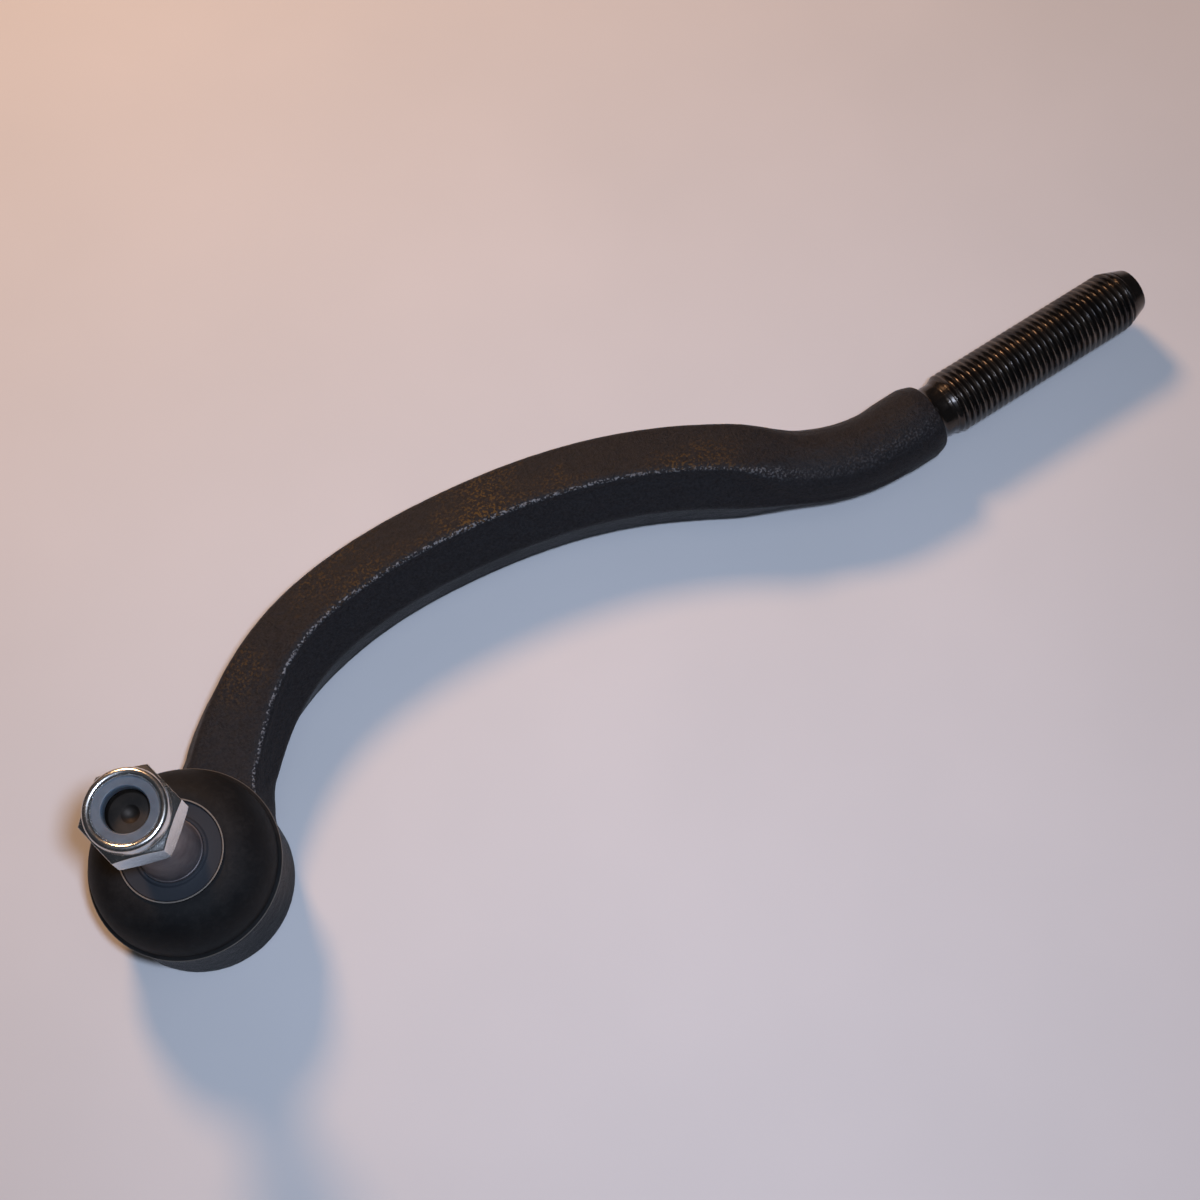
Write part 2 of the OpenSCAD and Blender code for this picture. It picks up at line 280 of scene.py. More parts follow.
def curve_slope(c, t):
    """A third of the curve's rate of change at t, used only for its direction."""
    return (1 - t) ** 2 * (c[1] - c[0]) + 2 * (1 - t) * t * (c[2] - c[1]) + t * t * (c[3] - c[2])


def corner_points(cx, cy, r, start, steps=6):
    """A quarter circle about (cx, cy), from the angle start in degrees."""
    angles = [math.radians(start + 90 * k / steps) for k in range(steps + 1)]
    return [(cx + r * math.cos(a), cy + r * math.sin(a)) for a in angles]


def arm_section(x):
    """Outline of the arm's section where its centreline is x along the shank's axis."""
    to_round = smooth_step(ROUND_START, ROUND_END, x)
    from_root = smooth_step(ROOT_START, ROOT_END, x)
    grow = (0.5 * (1 - from_root) + 0.3 * smooth_step(60 * MM, 135 * MM, x)
            + 2.5 * (1 - smooth_step(ROOT_START, ROOT_FLARE_END, x))) * MM
    half_w = (ARM_HALF_WIDTH + grow) * (1 - to_round) + ROUND_HALF * to_round
    tall = ROOT_HALF_HEIGHT * (1 - from_root) + ARM_HALF_HEIGHT * from_root
    half_h = tall * (1 - to_round) + ROUND_HALF * to_round
    r = ARM_CORNER * (1 - to_round) + ROUND_CORNER * to_round
    a = half_w - half_h * math.tan(math.radians(ARM_DRAFT * (1 - to_round) + to_round))
    flash = (0.12 + 0.1 * to_round) * MM
    seam = [(half_w - 0.02 * MM, -0.75 * MM), (half_w + flash, -0.4 * MM),
            (half_w + flash, 0.4 * MM), (half_w - 0.02 * MM, 0.75 * MM)]
    other = [(-u, -v) for u, v in seam]
    outline = (corner_points(a - r, half_h - r, r, 0) + corner_points(r - a, half_h - r, r, 90) + other
               + corner_points(r - a, r - half_h, r, 180) + corner_points(a - r, r - half_h, r, 270)
               + seam)
    lean_in, lean_out = smooth_step(12 * MM, 50 * MM, x), smooth_step(130 * MM, 168 * MM, x)
    lean = math.radians(ARM_LEAN * lean_in * (1 - lean_out))
    return [(u * math.cos(lean) + v * math.sin(lean), v * math.cos(lean) - u * math.sin(lean))
            for u, v in outline]


def make_arm():
    """The arm's skin swept along two curves that share a tangent at join."""
    join, slope = Vector((75 * MM, ARM_BOW)), 0.07
    near = [Vector((9.8, 8.1)) * MM, Vector((18.2 * MM, 0.43 * ARM_BOW)),
            Vector((29 * MM, ARM_BOW + slope * (join.x - 29 * MM))), join]
    far = [join, Vector((137.2 * MM, ARM_BOW - slope * (137.2 * MM - join.x))),
           Vector((143.2 * MM, 0)), Vector((171.4 * MM, 0))]
    stations = [(near, k / 30) for k in range(30)] + [(far, k / 70) for k in range(71)]
    verts, size = [], 0
    for c, t in stations:
        p, d = curve_point(c, t), curve_slope(c, t).normalized()
        outline = arm_section(p.x)
        size = len(outline)
        verts += [(p.x - d.y * u, p.y + d.x * u, AXIS_HEIGHT + v) for u, v in outline]
    faces = [(i * size + j, i * size + (j + 1) % size, (i + 1) * size + (j + 1) % size, (i + 1) * size + j)
             for i in range(len(stations) - 1) for j in range(size)]
    faces += [tuple(range(size)), tuple((len(stations) - 1) * size + j for j in reversed(range(size)))]
    return link_mesh("arm_blank", verts, faces)


def make_housing_blank():
    """Turned housing with the cover's seat below and the boot's spigot above."""
    outline = rounded([
        (COVER_LIP_R, 0.15 * MM, 0.3 * MM), (COVER_LIP_R + 1.2 * MM, 0, 0.4 * MM),
        (HOUSING_R - 0.8 * MM, 0, 0.6 * MM), (HOUSING_R, 0.9 * MM, 0.8 * MM),
        (HOUSING_R, HOUSING_TOP - 0.9 * MM, 0.6 * MM), (HOUSING_R - 0.9 * MM, HOUSING_TOP, 0.4 * MM),
        (SPIGOT_R, HOUSING_TOP, 0.3 * MM), (SPIGOT_R, SPIGOT_TOP, 0.4 * MM),
        (SPIGOT_R - SPIGOT_WALL, SPIGOT_TOP, 0.3 * MM), (MOUTH_R, SEAT_ROOF + 0.7 * MM, 0.2 * MM),
        (MOUTH_R, SEAT_ROOF, 0), (BORE_R, SEAT_ROOF, 0), (BORE_R, COVER_SEAT, 0),
        (COVER_R, COVER_SEAT, 0), (COVER_R, COVER_LIP, 0), (COVER_LIP_R, COVER_LIP, 0.2 * MM)], 4)
    return turned("housing_blank", outline)


def make_collar_blank():
    """The round shoulder between the arm and the shank."""
    outline = rounded([
        (0, COLLAR_START, 0), (COLLAR_R - 0.3 * MM, COLLAR_START, 0.5 * MM),
        (COLLAR_R, COLLAR_START + 3 * MM, 2 * MM), (COLLAR_R, COLLAR_END - 3 * MM, 2 * MM),
        (COLLAR_R - 0.9 * MM, COLLAR_END, 1.0 * MM),
        (0, COLLAR_END, 0)], 5)
    blank = turned("collar_blank", outline)
    lay_along_shank(blank)
    return blank


def neighbour_mean(coords, edges):
    """Mean of each vertex's neighbours."""
    total = np.zeros_like(coords)
    for axis in range(3):
        total[:, axis] = (np.bincount(edges[:, 0], coords[edges[:, 1], axis], len(coords))
                          + np.bincount(edges[:, 1], coords[edges[:, 0], axis], len(coords)))
    count = np.bincount(edges.ravel(), minlength=len(coords))
    return total / np.maximum(count, 1)[:, None]


def make_forging():
    """Housing, arm and collar grown together on a fine grid, with the roots filleted as a die leaves
    them and a slightly uneven hammered skin."""
    blanks = [make_housing_blank(), make_arm(), make_collar_blank()]
    base = blanks[0]
    work = bmesh.new()
    for blank in blanks:
        work.from_mesh(blank.data)
    work.to_mesh(base.data)
    work.free()
    for blank in blanks[1:]:
        bpy.data.objects.remove(blank)
    grid = base.modifiers.new("grid", "REMESH")
    grid.mode = "VOXEL"
    grid.voxel_size = 0.32 * MM
    bpy.context.view_layer.update()
    mesh = bpy.data.meshes.new_from_object(base.evaluated_get(bpy.context.evaluated_depsgraph_get()))
    bpy.data.objects.remove(base)
    coords = np.empty(len(mesh.vertices) * 3)
    mesh.vertices.foreach_get("co", coords)
    coords = coords.reshape(-1, 3)
    edges = np.empty(len(mesh.edges) * 2, int)
    mesh.edges.foreach_get("vertices", edges)
    edges = edges.reshape(-1, 2)
    out = np.hypot(coords[:, 0], coords[:, 1])
    heading = np.degrees(np.arctan2(coords[:, 1], coords[:, 0]))
    root = (smooth_step(15.6 * MM, 17.5 * MM, out) * (1 - smooth_step(21 * MM, 26 * MM, out))
            * smooth_step(-12, 2, heading) * (1 - smooth_step(92, 106, heading))
            * smooth_step(0.5 * MM, 3 * MM, coords[:, 2])
            * (1 - smooth_step(16.6 * MM, 17.8 * MM, coords[:, 2])))
    collar_join = (smooth_step(150 * MM, 166 * MM, coords[:, 0])
                   * (1 - smooth_step(176 * MM, 180 * MM, coords[:, 0])))
    inside = (out < 15 * MM) | ((out < 16 * MM) & (coords[:, 2] > HOUSING_TOP))
    for step in range(60):
        mean = neighbour_mean(coords, edges)
        weight = np.maximum(root, 0.5 * collar_join if step < 12 else 0)
        weight = np.maximum(weight, 0.5 * (~inside) if step < 3 else 0)
        coords += 0.8 * weight[:, None] * (mean - coords)
    mesh.vertices.foreach_set("co", coords.ravel())
    mesh.update()
    normals = np.empty(len(mesh.vertices) * 3)
    mesh.vertices.foreach_get("normal", normals)
    normals = normals.reshape(-1, 3)
    for i in np.flatnonzero(~inside):
        p = Vector(coords[i])
        lump = 0.035 * noise.noise(p * 420) + 0.022 * noise.noise(p * 1000)
        if coords[i, 2] > 0.3 * MM and coords[i, 0] < COLLAR_END - 0.3 * MM:
            coords[i] += normals[i] * lump * MM
    mesh.vertices.foreach_set("co", coords.ravel())
    return finish_mesh("forged_arm_and_housing", mesh, 60)


def make_shank():
    """Plain neck and M14 thread, rooted inside the collar."""
    core = SHANK_R - 0.6134 * SHANK_PITCH
    start = THREAD_START - 1.6 * MM
    end = SHANK_TIP - 0.25 * MM

    def limit(z):
        run_in = core - 0.02 * MM + 0.45 * (z - start)
        lead = TIP_R + (SHANK_R - TIP_R) * (end - z) / TIP_CONE
        return min(run_in, lead)

    into = COLLAR_END - 1.5 * MM
    low_end = [(NECK_R, start - 0.4 * MM), (NECK_R, start - 0.9 * MM),
               (NECK_R, COLLAR_END + 1.4 * MM), (NECK_R + 0.1 * MM, COLLAR_END + 0.8 * MM),
               (NECK_R + 0.35 * MM, COLLAR_END + 0.3 * MM), (NECK_R + 0.7 * MM, COLLAR_END - 0.1 * MM),
               (NECK_R + 0.7 * MM, into), (0, into)]
    high_end = [(TIP_R - 0.12 * MM, SHANK_TIP - 0.08 * MM), (TIP_R - 0.35 * MM, SHANK_TIP),
                (1.9 * MM, SHANK_TIP), (1.5 * MM, SHANK_TIP - 0.25 * MM), (0, SHANK_TIP - 1.3 * MM)]
    shank = screw("shank_thread", SHANK_R, SHANK_PITCH, start, end, low_end, high_end, limit)
    lay_along_shank(shank)
    return shank


# ---------------------------------------------------------------- stud, nut, boot, cover
def make_stud():
    """Ball, waist, sealing land, ground taper and M10 thread in one piece."""
    ball_r = (stud_high[0] - stud_low[0]) / 2
    core = STUD_R - 0.6134 * STUD_PITCH
    start = TAPER_END + 1.7 * MM
    chamfer = 1.0 * MM
    end = STUD_TOP - 0.12 * MM

    def limit(z):
        return min(core - 0.02 * MM + 0.8 * (z - start), STUD_R - chamfer + 0.9 * (end - z))

    undercut = core - 0.1 * MM
    low_end = [(undercut, start - 0.3 * MM), (undercut, TAPER_END + 0.5 * MM),
               (undercut + 0.1 * MM, TAPER_END + 0.3 * MM),
               (TAPER_SMALL_R - 0.15 * MM, TAPER_END + 0.02 * MM),
               (TAPER_SMALL_R, TAPER_END - 0.15 * MM)]
    low_end += [(TAPER_SMALL_R + (TAPER_BIG_R - TAPER_SMALL_R) * k / 12,
                 TAPER_END + (TAPER_START - TAPER_END) * k / 12) for k in range(1, 13)]
    low_end += [(SEAL_R - 0.06 * MM, TAPER_START - 0.08 * MM), (SEAL_R, TAPER_START - 0.25 * MM),
                (SEAL_R, SEAL_START)]
    low_end += [(SEAL_R - 0.6 * MM * math.sin(math.radians(9 * k)) ** 2, SEAL_START - 0.27 * k * MM)
                for k in range(1, 11)]
    low_end += [(WAIST_R, 23.4 * MM), (WAIST_R + 0.15 * MM, 22.4 * MM)]
    ball_from = math.degrees(math.asin((WAIST_R + 0.65 * MM) / ball_r))
    ball_to = 180 - math.degrees(math.acos((BALL_HEIGHT - stud_low[2]) / ball_r))
    for k in range(41):
        a = math.radians(ball_from + (ball_to - ball_from) * k / 40)
        low_end.append((ball_r * math.sin(a), BALL_HEIGHT + ball_r * math.cos(a)))
    low_end.append((0, stud_low[2]))
    high_end = [(STUD_R - chamfer - 0.1 * MM, STUD_TOP - 0.03 * MM), (STUD_R - chamfer - 0.25 * MM, STUD_TOP),
                (1.7 * MM, STUD_TOP), (1.5 * MM, STUD_TOP - 0.15 * MM), (0, STUD_TOP - 1.4 * MM)]
    return screw("ball_stud_turned", STUD_R, STUD_PITCH, start, end, low_end, high_end, limit)


def make_nut():
    """Hexagon with chamfered corners, and a collar rolled over the nylon ring. Each row is a radius,
    a height and whether the hexagon's faces cut it, with a corner rounded by blend where they do."""
    half = NUT_FLATS / 2
    base = nut_low[2]
    top = nut_high[2]
    blend = 0.07 * MM
    bore = STUD_R + 0.04 * MM
    crown_r = (NUT_COLLAR_R + CRIMP_R) / 2
    crown = (NUT_COLLAR_R - CRIMP_R) / 2
    rows = [(half - 0.55 * MM, base, False), (half - 0.3 * MM, base + 0.04 * MM, False)]
    rows += [(half - 0.3 * MM + 1.6 * MM * k / 10, base + (0.06 + 0.85 * k / 10) * MM, True)
             for k in range(11)]
    rows += [(half * 1.2, base + (1.2 + 1.1 * k) * MM, True) for k in range(5)]
    rows += [(half - 0.25 * MM + 1.6 * MM * (1 - k / 10), HEX_TOP - (0.1 + 0.95 * (1 - k / 10)) * MM, True)
             for k in range(11)]
    rows += [(half - 0.32 * MM, HEX_TOP - 0.03 * MM, False), (NUT_COLLAR_R + 0.2 * MM, HEX_TOP, False),
             (NUT_COLLAR_R + 0.03 * MM, HEX_TOP + 0.12 * MM, False),
             (NUT_COLLAR_R, HEX_TOP + 0.3 * MM, False)]
    turns = [math.radians(9 * k) for k in range(21)]
    rows += [(crown_r + crown * math.cos(a), top - crown + crown * math.sin(a), False) for a in turns]
    rows += [(CRIMP_R, nylon_high[2] + 0.1 * MM, False), (NYLON_SEAT_R, nylon_high[2] + 0.04 * MM, False),
             (NYLON_SEAT_R, nylon_low[2] - 0.04 * MM, False),
             (bore + 0.1 * MM, nylon_low[2] - 0.05 * MM, False),
             (bore, nylon_low[2] - 0.15 * MM, False), (bore, base + 1.0 * MM, False),
             (bore + 0.9 * MM, base + 0.1 * MM, False), (bore + 1.1 * MM, base, False)]
    segments = 360
    verts = []
    for r, z, on_hexagon in rows:
        for k in range(segments):
            a = 2 * math.pi * k / segments
            off = (math.degrees(a) - NUT_ANGLE + 30) % 60 - 30
            flat_r = half / math.cos(math.radians(30 - abs(off)))
            radius = r
            if on_hexagon:
                radius = -blend * math.log(math.exp(-r / blend) + math.exp(-flat_r / blend))
            verts.append((radius * math.cos(a), radius * math.sin(a), z))
    count = len(rows)
    faces = [(i * segments + k, i * segments + (k + 1) % segments,
              ((i + 1) % count) * segments + (k + 1) % segments, ((i + 1) % count) * segments + k)
             for i in range(count) for k in range(segments)]
    return link_mesh("nut_hex_and_collar", verts, faces, 30)


def make_nylon():
    """Plain ring with a slightly dished upper edge."""
    low, high = nylon_low[2], nylon_high[2]
    wide = (nylon_high[0] - nylon_low[0]) / 2
    outline = rounded([
        (NYLON_HOLE_R, low, 0.15 * MM), (wide, low, 0.1 * MM),
        (wide, high, 0.1 * MM), (5.7 * MM, high, 0.2 * MM),
        (NYLON_HOLE_R + 0.2 * MM, high - 0.08 * MM, 0.2 * MM), (NYLON_HOLE_R, high - 0.6 * MM, 0.3 * MM)])
    return turned("nylon_lock_ring", outline, 120)


def dome_points(shift, steps=28):
    """The boot's domed side; shift moves it in by the wall's thickness."""
    base = HOUSING_TOP + DOME_RISE
    base_r = foot_high[0] - RIM_BACK
    top = foot_high[2] - 0.5 * MM
    out = []
    for k in range(steps + 1):
        a = math.radians(90 * k / steps)
        out.append((BOOT_TOP_R - shift + (base_r - BOOT_TOP_R) * math.cos(a),
                    base + (top - base - shift) * math.sin(a)))
    return out


def make_boot():
    """Rubber dome with a moulded rim at its foot and a flat top with thin lips round the stud."""
    wide = foot_high[0]
    low, top = foot_low[2], foot_high[2]
    foot = rounded([
        (SPIGOT_R + 0.03 * MM, low, 0), (FOOT_SLOT[0], low, 0), (FOOT_SLOT[0], low + 1.9 * MM, 0.05 * MM),
        (FOOT_SLOT[1], low + 1.9 * MM, 0.05 * MM), (FOOT_SLOT[1], low, 0), (wide - 0.6 * MM, low, 0.25 * MM),
        (wide, low + 0.8 * MM, 0.4 * MM), (wide, low + 1.5 * MM, 0.1 * MM),
        (wide + 0.12 * MM, low + 1.62 * MM, 0.04 * MM), (wide + 0.12 * MM, low + 1.8 * MM, 0.04 * MM),
        (wide - 0.05 * MM, low + 1.95 * MM, 0.1 * MM),
        (wide - 0.6 * MM, low + 2.25 * MM, 0.15 * MM), (wide - RIM_BACK, low + 2.7 * MM, 0)], 5)[:-1]
    neck = rounded([
        (BOOT_TOP_R, top - 0.5 * MM, 0), (BOOT_TOP_R, top + 0.1 * MM, 0.1 * MM),
        (9.8 * MM, top + 0.1 * MM, 0.1 * MM), (9.6 * MM, top - 0.35 * MM, 0.15 * MM),
        (7.15 * MM, top - 0.32 * MM, 0.2 * MM), (6.75 * MM, top + 0.02 * MM, 0.12 * MM),
        (SEAL_R + 0.06 * MM, top, 0.1 * MM), (SEAL_R + 0.05 * MM, top - NECK_DEPTH, 0.1 * MM),
        (NECK_SLOT[0], top - NECK_DEPTH, 0), (NECK_SLOT[0], top - 0.9 * MM, 0.05 * MM),
        (NECK_SLOT[1], top - 0.9 * MM, 0.05 * MM), (NECK_SLOT[1], top - NECK_DEPTH, 0)], 4)[1:]
    inner = list(reversed(dome_points(BOOT_WALL)))
    base = HOUSING_TOP + DOME_RISE
    heel = [(SPIGOT_R + 0.9 * MM, base), (SPIGOT_R + 0.03 * MM, base - 0.6 * MM)]
    boot = turned("boot_rubber", foot + dome_points(0) + neck + inner + heel, 192, 50)
    # The thin lip ring and the rim's bead are marked to be painted pale as highlights; the flat round the
    # stud is marked to be smoother and painted with a bluish sheen.
    lip_low, lip_high = 9.85 * MM, 10.12 * MM
    mark(boot, "painted_edge_highlight", lambda r, z: r > wide + 0.02 * MM or (lip_low < r < lip_high and z > top))
    mark(boot, "smooth_top_painted_sheen", lambda r, z: r < 9.7 * MM and z > top - 0.8 * MM)
    return boot


def make_cover():
    """Pressed steel cover with a raised middle, seen from below."""
    rim = plate_high[0]
    outline = rounded([
        (0, 0, 0), (8.2 * MM, 0, 0.7 * MM), (9.6 * MM, 1.05 * MM, 0.7 * MM), (rim, 1.05 * MM, 0.15 * MM),
        (rim, 2.95 * MM, 0.15 * MM), (7.8 * MM, 2.95 * MM, 0.5 * MM), (6.8 * MM, 2 * MM, 0.5 * MM),
        (0, 2 * MM, 0)])
    return turned("cover_pressing", outline)


# ---------------------------------------------------------------- materials
class Paint:
    """Short names for building a material's nodes."""

    def __init__(self, name):
        self.material = bpy.data.materials.new(name)
        self.material.use_nodes = True
        self.tree = self.material.node_tree
        self.shader = self.tree.nodes["Principled BSDF"]
        self.place = self.add("ShaderNodeTexCoord").outputs["Object"]

    def add(self, kind, **settings):
        made = self.tree.nodes.new(kind)
        for key, value in settings.items():
            setattr(made, key, value)
        return made

    def join(self, source, target):
        self.tree.links.new(source, target)

    def set(self, **values):
        for key, value in values.items():
            self.shader.inputs[key.replace("_", " ")].default_value = value

    def grain(self, size, detail=4.0, rough=0.6, stretch=(1, 1, 1), distortion=0.0):
        """Noise whose features are about size metres across."""
        texture = self.add("ShaderNodeTexNoise")
        texture.inputs["Scale"].default_value = 1 / size
        texture.inputs["Detail"].default_value = detail
        texture.inputs["Roughness"].default_value = rough
        texture.inputs["Distortion"].default_value = distortion
        scaled = self.add("ShaderNodeMapping")
        scaled.inputs["Scale"].default_value = stretch
        self.join(self.place, scaled.inputs["Vector"])
        self.join(scaled.outputs["Vector"], texture.inputs["Vector"])
        return texture.outputs["Fac"]

    def spread(self, source, low, high, new_low=0.0, new_high=1.0):
        ranged = self.add("ShaderNodeMapRange")
        for key, value in zip(("From Min", "From Max", "To Min", "To Max"), (low, high, new_low, new_high)):
            ranged.inputs[key].default_value = value
        self.join(source, ranged.inputs["Value"])
        return ranged.outputs["Result"]

    def sum(self, a, b, how="ADD"):
        node = self.add("ShaderNodeMath", operation=how)
        for source, target in zip((a, b), node.inputs):
            if isinstance(source, (int, float)):
                target.default_value = source
            else:
                self.join(source, target)
        return node.outputs[0]

    def colours(self, source, *stops):
        ramp = self.add("ShaderNodeValToRGB")
        while len(ramp.color_ramp.elements) < len(stops):
            ramp.color_ramp.elements.new(1.0)
        for element, (at, colour) in zip(ramp.color_ramp.elements, stops):
            element.position = at
            element.color = (*colour, 1)
        self.join(source, ramp.inputs["Fac"])
        return ramp.outputs["Color"]

    def blend_colour(self, share, first, second):
        mix = self.add("ShaderNodeMix", data_type="RGBA")
        self.join(share, mix.inputs[0])
        for source, target in ((first, mix.inputs[6]), (second, mix.inputs[7])):
            if isinstance(source, tuple):
                target.default_value = (*source, 1)
            else:
                self.join(source, target)
        return mix.outputs[2]

    def split(self):
        parts = self.add("ShaderNodeSeparateXYZ")
        self.join(self.place, parts.inputs[0])
        return parts.outputs

    def marked(self, name):
        return self.add("ShaderNodeAttribute", attribute_name=name).outputs["Fac"]

    def facing(self):
        """The three parts of the surface's direction in the piece's own axes."""
        parts = self.add("ShaderNodeSeparateXYZ")
        self.join(self.add("ShaderNodeTexCoord").outputs["Normal"], parts.inputs[0])
        return parts.outputs

    def relief(self, height, distance, strength=1.0, under=None):
        bump = self.add("ShaderNodeBump")
        bump.inputs["Distance"].default_value = distance
        bump.inputs["Strength"].default_value = strength
        self.join(height, bump.inputs["Height"])
        if under is not None:
            self.join(under, bump.inputs["Normal"])
        return bump.outputs["Normal"]

    def use(self, colour=None, roughness=None, normal=None):
        for source, key in ((colour, "Base Color"), (roughness, "Roughness"), (normal, "Normal")):
            if source is not None:
                self.join(source, self.shader.inputs[key])
        return self.material


def black_forging():
    """Thin semi-gloss black over a blasted forging: fine grit, shallow lumps, brown specks painted on
    upward faces as warm glints, and pale specks painted on its upper edges as highlights."""
    p = Paint("black_forging")
    grit = p.grain(0.55 * MM, 5, 0.65)
    lumps = p.grain(2.4 * MM, 3, 0.5)
    broad_patches = p.grain(26 * MM, 3, 0.6)
    speck = p.grain(0.6 * MM, 2, 0.5)
    along = p.split()[0]
    over, side, up = p.facing()
    inner = p.spread(p.sum(p.sum(over, 0.6, "MULTIPLY"), p.sum(side, 0.8, "MULTIPLY"), "SUBTRACT"), 0.05, 0.3)
    # Pale specks painted on the upper edges of the arm's inner side, fading toward the boss: a painted
    # highlight along the ridge.
    edge = p.sum(p.spread(up, 0.68, 0.84), p.spread(up, 0.957, 0.93), "MULTIPLY")
    edge = p.sum(p.sum(edge, inner, "MULTIPLY"), p.spread(along, 132 * MM, 150 * MM, 1, 0.16), "MULTIPLY")
    painted_edge_highlight = p.sum(edge, p.spread(p.grain(0.5 * MM, 2, 0.5), 0.5, 0.64), "MULTIPLY")
    dark = p.colours(grit, (0.35, (0.007, 0.0065, 0.0075)), (0.62, (0.0185, 0.0175, 0.0195)))
    # Brown specks painted on upward faces of the mid-arm, standing in for glints of the warm lamp.
    painted_warm_glints = p.sum(p.spread(speck, 0.5, 0.63), p.spread(broad_patches, 0.40, 0.56), "MULTIPLY")
    painted_warm_glints = p.sum(painted_warm_glints, p.spread(up, 0.7, 0.95), "MULTIPLY")
    painted_warm_glints = p.sum(painted_warm_glints, p.spread(along, 18 * MM, 34 * MM), "MULTIPLY")
    painted_warm_glints = p.sum(painted_warm_glints, p.spread(along, 120 * MM, 150 * MM, 1, 0.15), "MULTIPLY")
    colour = p.blend_colour(painted_warm_glints, dark, (0.080, 0.045, 0.014))
    colour = p.blend_colour(painted_edge_highlight, colour, (0.20, 0.20, 0.21))
    rough = p.sum(p.spread(grit, 0.3, 0.7, 0.42, 0.58), p.spread(broad_patches, 0.35, 0.65, -0.04, 0.08))
    rough = p.sum(rough, p.sum(painted_edge_highlight, -0.16, "MULTIPLY"))
    coarse = p.relief(lumps, 0.4 * MM, 0.8)
    normal = p.relief(grit, 0.26 * MM, 1.0, coarse)
    p.set(Specular_IOR_Level=0.16)
    return p.use(colour, rough, normal)


def black_thread():
    """Rolled thread with a thin oiled black finish, worn brighter on its crests."""
    p = Paint("black_thread")
    fine = p.grain(0.5 * MM, 4, 0.6, (0.25, 1, 1))
    patch = p.grain(5 * MM, 3, 0.6)
    _, y, z = p.split()
    up = p.sum(z, -AXIS_HEIGHT)
    out = p.sum(p.sum(p.sum(y, y, "MULTIPLY"), p.sum(up, up, "MULTIPLY")), 0.5, "POWER")
    crest = p.spread(out, SHANK_R - 0.3 * MM, SHANK_R)
    worn = p.sum(crest, p.spread(patch, 0.36, 0.6), "MULTIPLY")
    base = p.colours(patch, (0.3, (0.045, 0.042, 0.042)), (0.7, (0.085, 0.072, 0.062)))
    colour = p.blend_colour(worn, base, (0.20, 0.17, 0.145))
    rough = p.spread(fine, 0.3, 0.7, 0.17, 0.28)
    p.set(Metallic=0.93)
    return p.use(colour, rough, p.relief(fine, 0.03 * MM, 0.6))


def boot_rubber():
    """Matt black rubber with fine moulded grain and a trace of dust. The flat round the stud is smoother
    and painted with a pale bluish sheen, and the thin lips and the rim's bead are painted pale as highlights."""
    p = Paint("boot_rubber")
    fine = p.grain(0.25 * MM, 4, 0.6)
    dust = p.grain(9 * MM, 5, 0.65)
    scuff = p.grain(1.2 * MM, 6, 0.7, distortion=0.6)
    # lips marks the thin lip ring and the rim's bead, painted pale as a highlight.
    lips = p.marked("painted_edge_highlight")
    plateau = p.marked("smooth_top_painted_sheen")
    black = p.colours(p.sum(dust, p.spread(scuff, 0.4, 0.7, -0.1, 0.15)),
                      (0.38, (0.0055, 0.0055, 0.006)), (0.72, (0.013, 0.0125, 0.0125)))
    # The flat round the stud is painted a lighter bluish grey as a sheen; its roughness is also lowered
    # below.
    smooth = p.blend_colour(plateau, black, (0.022, 0.025, 0.031))
    colour = p.blend_colour(lips, smooth, (0.16, 0.14, 0.12))
    rough = p.sum(p.spread(dust, 0.3, 0.7, 0.62, 0.76), p.sum(plateau, -0.14, "MULTIPLY"))
    rough = p.sum(rough, p.sum(lips, -0.25, "MULTIPLY"))
    normal = p.relief(scuff, 0.05 * MM, 0.5, p.relief(fine, 0.02 * MM, 0.6))
    p.set(Specular_IOR_Level=0.16)
    return p.use(colour, rough, normal)


def ground_steel():
    """Ground steel with fine marks running round the stud; its threaded end is darker, partly from oil and
    partly as painted shade inside the nut.
    """
    p = Paint("ground_steel")
    z = p.split()[2]
    marks = p.grain(0.12 * MM, 3, 0.7, (0.02, 0.02, 1))
    stain = p.grain(4 * MM, 4, 0.6)
    bare = p.colours(stain, (0.3, (0.19, 0.165, 0.17)), (0.7, (0.34, 0.30, 0.305)))
    # Dark colour of the threaded end: oil, and painted shade where it sits deep in the nut.
    oily_and_shaded = p.colours(stain, (0.3, (0.016, 0.013, 0.011)), (0.7, (0.040, 0.031, 0.024)))
    threaded = p.spread(z, TAPER_END + 0.6 * MM, TAPER_END + 1.4 * MM)
    colour = p.blend_colour(threaded, bare, oily_and_shaded)
    rough = p.sum(p.spread(marks, 0.3, 0.7, 0.30, 0.42), p.sum(threaded, 0.2, "MULTIPLY"))
    p.set(Metallic=0.7)
    return p.use(colour, rough, p.relief(marks, 0.006 * MM, 0.4))


def bright_zinc():
    """Bright zinc plating: nearly a mirror, with faint waves and handling marks."""
    p = Paint("bright_zinc")
    waves = p.grain(1.6 * MM, 3, 0.5)
    fine = p.grain(0.2 * MM, 4, 0.7)
    film = p.grain(5 * MM, 4, 0.6)
    colour = p.colours(film, (0.3, (0.66, 0.665, 0.68)), (0.7, (0.80, 0.79, 0.765)))
    rough = p.sum(p.spread(fine, 0.35, 0.7, 0.15, 0.26), p.spread(film, 0.45, 0.7, 0.0, 0.07))
    normal = p.relief(fine, 0.006 * MM, 0.5, p.relief(waves, 0.03 * MM, 0.6))
    p.set(Metallic=1.0)
    return p.use(colour, rough, normal)


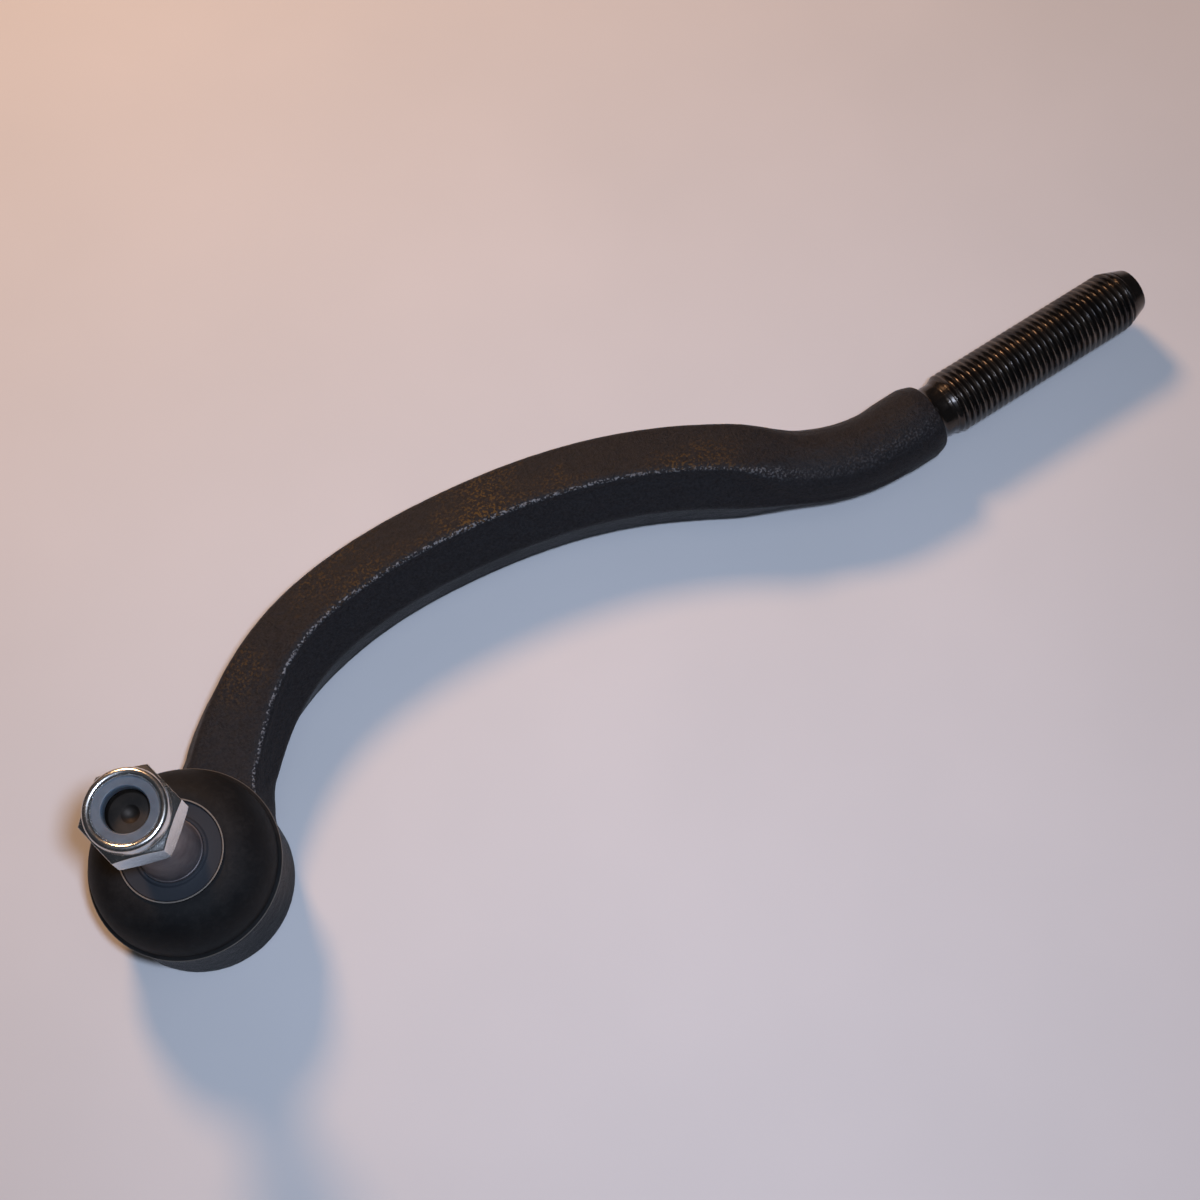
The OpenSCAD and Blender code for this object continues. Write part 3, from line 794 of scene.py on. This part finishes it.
def blue_nylon():
    """Blue-grey nylon, a little translucent."""
    p = Paint("blue_nylon")
    fine = p.grain(0.3 * MM, 4, 0.6)
    cloud = p.grain(3 * MM, 3, 0.6)
    colour = p.colours(cloud, (0.3, (0.060, 0.080, 0.105)), (0.7, (0.090, 0.117, 0.148)))
    p.set(Subsurface_Weight=0.15, Subsurface_Scale=0.001, Specular_IOR_Level=0.5)
    return p.use(colour, p.spread(fine, 0.3, 0.7, 0.32, 0.5), p.relief(fine, 0.03 * MM, 0.6))


def satin_steel():
    """Plain steel of the spring and the boot's two rings."""
    p = Paint("satin_steel")
    fine = p.grain(0.3 * MM, 4, 0.6)
    cloud = p.grain(5 * MM, 4, 0.6)
    colour = p.colours(cloud, (0.3, (0.42, 0.42, 0.44)), (0.7, (0.55, 0.55, 0.56)))
    p.set(Metallic=1.0)
    return p.use(colour, p.spread(fine, 0.3, 0.7, 0.25, 0.4), p.relief(fine, 0.02 * MM, 0.6))


def seat_plastic():
    """Off-white plastic of the ball's seats."""
    p = Paint("seat_plastic")
    fine = p.grain(0.4 * MM, 4, 0.6)
    cloud = p.grain(6 * MM, 3, 0.6)
    colour = p.colours(cloud, (0.3, (0.66, 0.63, 0.53)), (0.7, (0.74, 0.71, 0.62)))
    p.set(Subsurface_Weight=0.1, Subsurface_Scale=0.002)
    return p.use(colour, p.spread(fine, 0.3, 0.7, 0.4, 0.55), p.relief(fine, 0.02 * MM, 0.5))


def table_top():
    """Pale coated board with a faint mottling."""
    p = Paint("table_top")
    cloud = p.grain(60 * MM, 3, 0.5)
    fine = p.grain(0.6 * MM, 3, 0.6)
    colour = p.colours(cloud, (0.3, (0.585, 0.575, 0.58)), (0.7, (0.615, 0.60, 0.605)))
    p.set(Specular_IOR_Level=0.25)
    return p.use(colour, p.spread(fine, 0.3, 0.7, 0.55, 0.65), p.relief(fine, 0.02 * MM, 0.3))


# ---------------------------------------------------------------- build
def dress(thing, material, body, node=None):
    """Gives a piece its material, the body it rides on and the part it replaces."""
    thing.data.materials.clear()
    thing.data.materials.append(material)
    if body:
        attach(thing, body)
    if node:
        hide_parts(node)


forging = black_forging()
dress(make_forging(), forging, "housing", "forged_body")
dress(make_shank(), black_thread(), "housing", None)
dress(make_cover(), forging, "housing", "cover_plate")
dress(make_stud(), ground_steel(), "stud", "ball_stud")
dress(make_nylon(), blue_nylon(), "nut_carrier", "nut_nylon_ring")
dress(make_nut(), bright_zinc(), "nut", "nut_body")
boot = make_boot()
dress(boot, boot_rubber(), None, "boot")
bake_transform(boot)

hidden_metal = satin_steel()
seats = seat_plastic()
for node, material in (("preload_spring", hidden_metal), ("boot_foot_ring", hidden_metal),
                       ("boot_neck_ring", hidden_metal), ("lower_ball_seat", seats),
                       ("upper_ball_seat", seats)):
    kept = frame["nodes"][node]
    kept.data.materials.clear()
    kept.data.materials.append(material)


# ---------------------------------------------------------------- floor, light and camera
def make_floor():
    """A flat board just under the housing's base."""
    half = 3.0
    floor = link_mesh("floor", [(-half, -half, -0.02 * MM), (half, -half, -0.02 * MM),
                                (half, half, -0.02 * MM), (-half, half, -0.02 * MM)], [(0, 1, 2, 3)])
    floor.data.materials.append(table_top())


def lamp(name, place, target, size, watts, colour):
    light = bpy.data.lights.new(name, "AREA")
    light.shape = "DISK"
    light.size = size
    light.energy = watts
    light.color = colour
    holder = bpy.data.objects.new(name, light)
    holder.location = place
    holder.rotation_euler = (Vector(target) - Vector(place)).to_track_quat("-Z", "Y").to_euler()
    bpy.context.scene.collection.objects.link(holder)


def make_light():
    """A dim cool room, a warm lamp behind the arm's bow, a small cool lamp close to the camera and a
    wide soft one high above."""
    world = bpy.data.worlds.new("studio")
    world.use_nodes = True
    sky = world.node_tree.nodes["Background"]
    sky.inputs["Color"].default_value = (0.86, 0.90, 1.0, 1)
    sky.inputs["Strength"].default_value = 0.03
    bpy.context.scene.world = world
    middle = (0.1, 0.01, 0)
    lamp("warm_key", (0.128, 0.51, 0.49), middle, 0.15, 3.5, (1.0, 0.58, 0.31))
    lamp("cool_key", (0.056, -0.105, 0.384), middle, 0.03, 1.15, (0.63, 0.76, 1.0))
    lamp("soft_top", (0.25, -0.3, 1.5), middle, 1.0, 1.6, (1.0, 0.97, 0.96))


def make_camera():
    """The lens, place, aim and roll of the view; aim is where its axis meets the floor."""
    data = bpy.data.cameras.new("camera")
    data.sensor_width = 36
    data.lens = 55.59
    data.clip_start = 0.01
    holder = bpy.data.objects.new("camera", data)
    place = Vector((31.45, -106.33, 379.43)) * MM
    aim = Vector((101.66, 7.06, 0)) * MM
    up_hint = Vector((0.519, 0.788, 0.3315))
    back = (place - aim).normalized()
    right = up_hint.cross(back).normalized()
    up = back.cross(right)
    holder.matrix_world = Matrix.Translation(place) @ Matrix((right, up, back)).transposed().to_4x4()
    bpy.context.scene.collection.objects.link(holder)
    bpy.context.scene.camera = holder


make_floor()
make_light()
make_camera()
bpy.context.scene.view_settings.view_transform = "Standard"

bpy.context.view_layer.update()
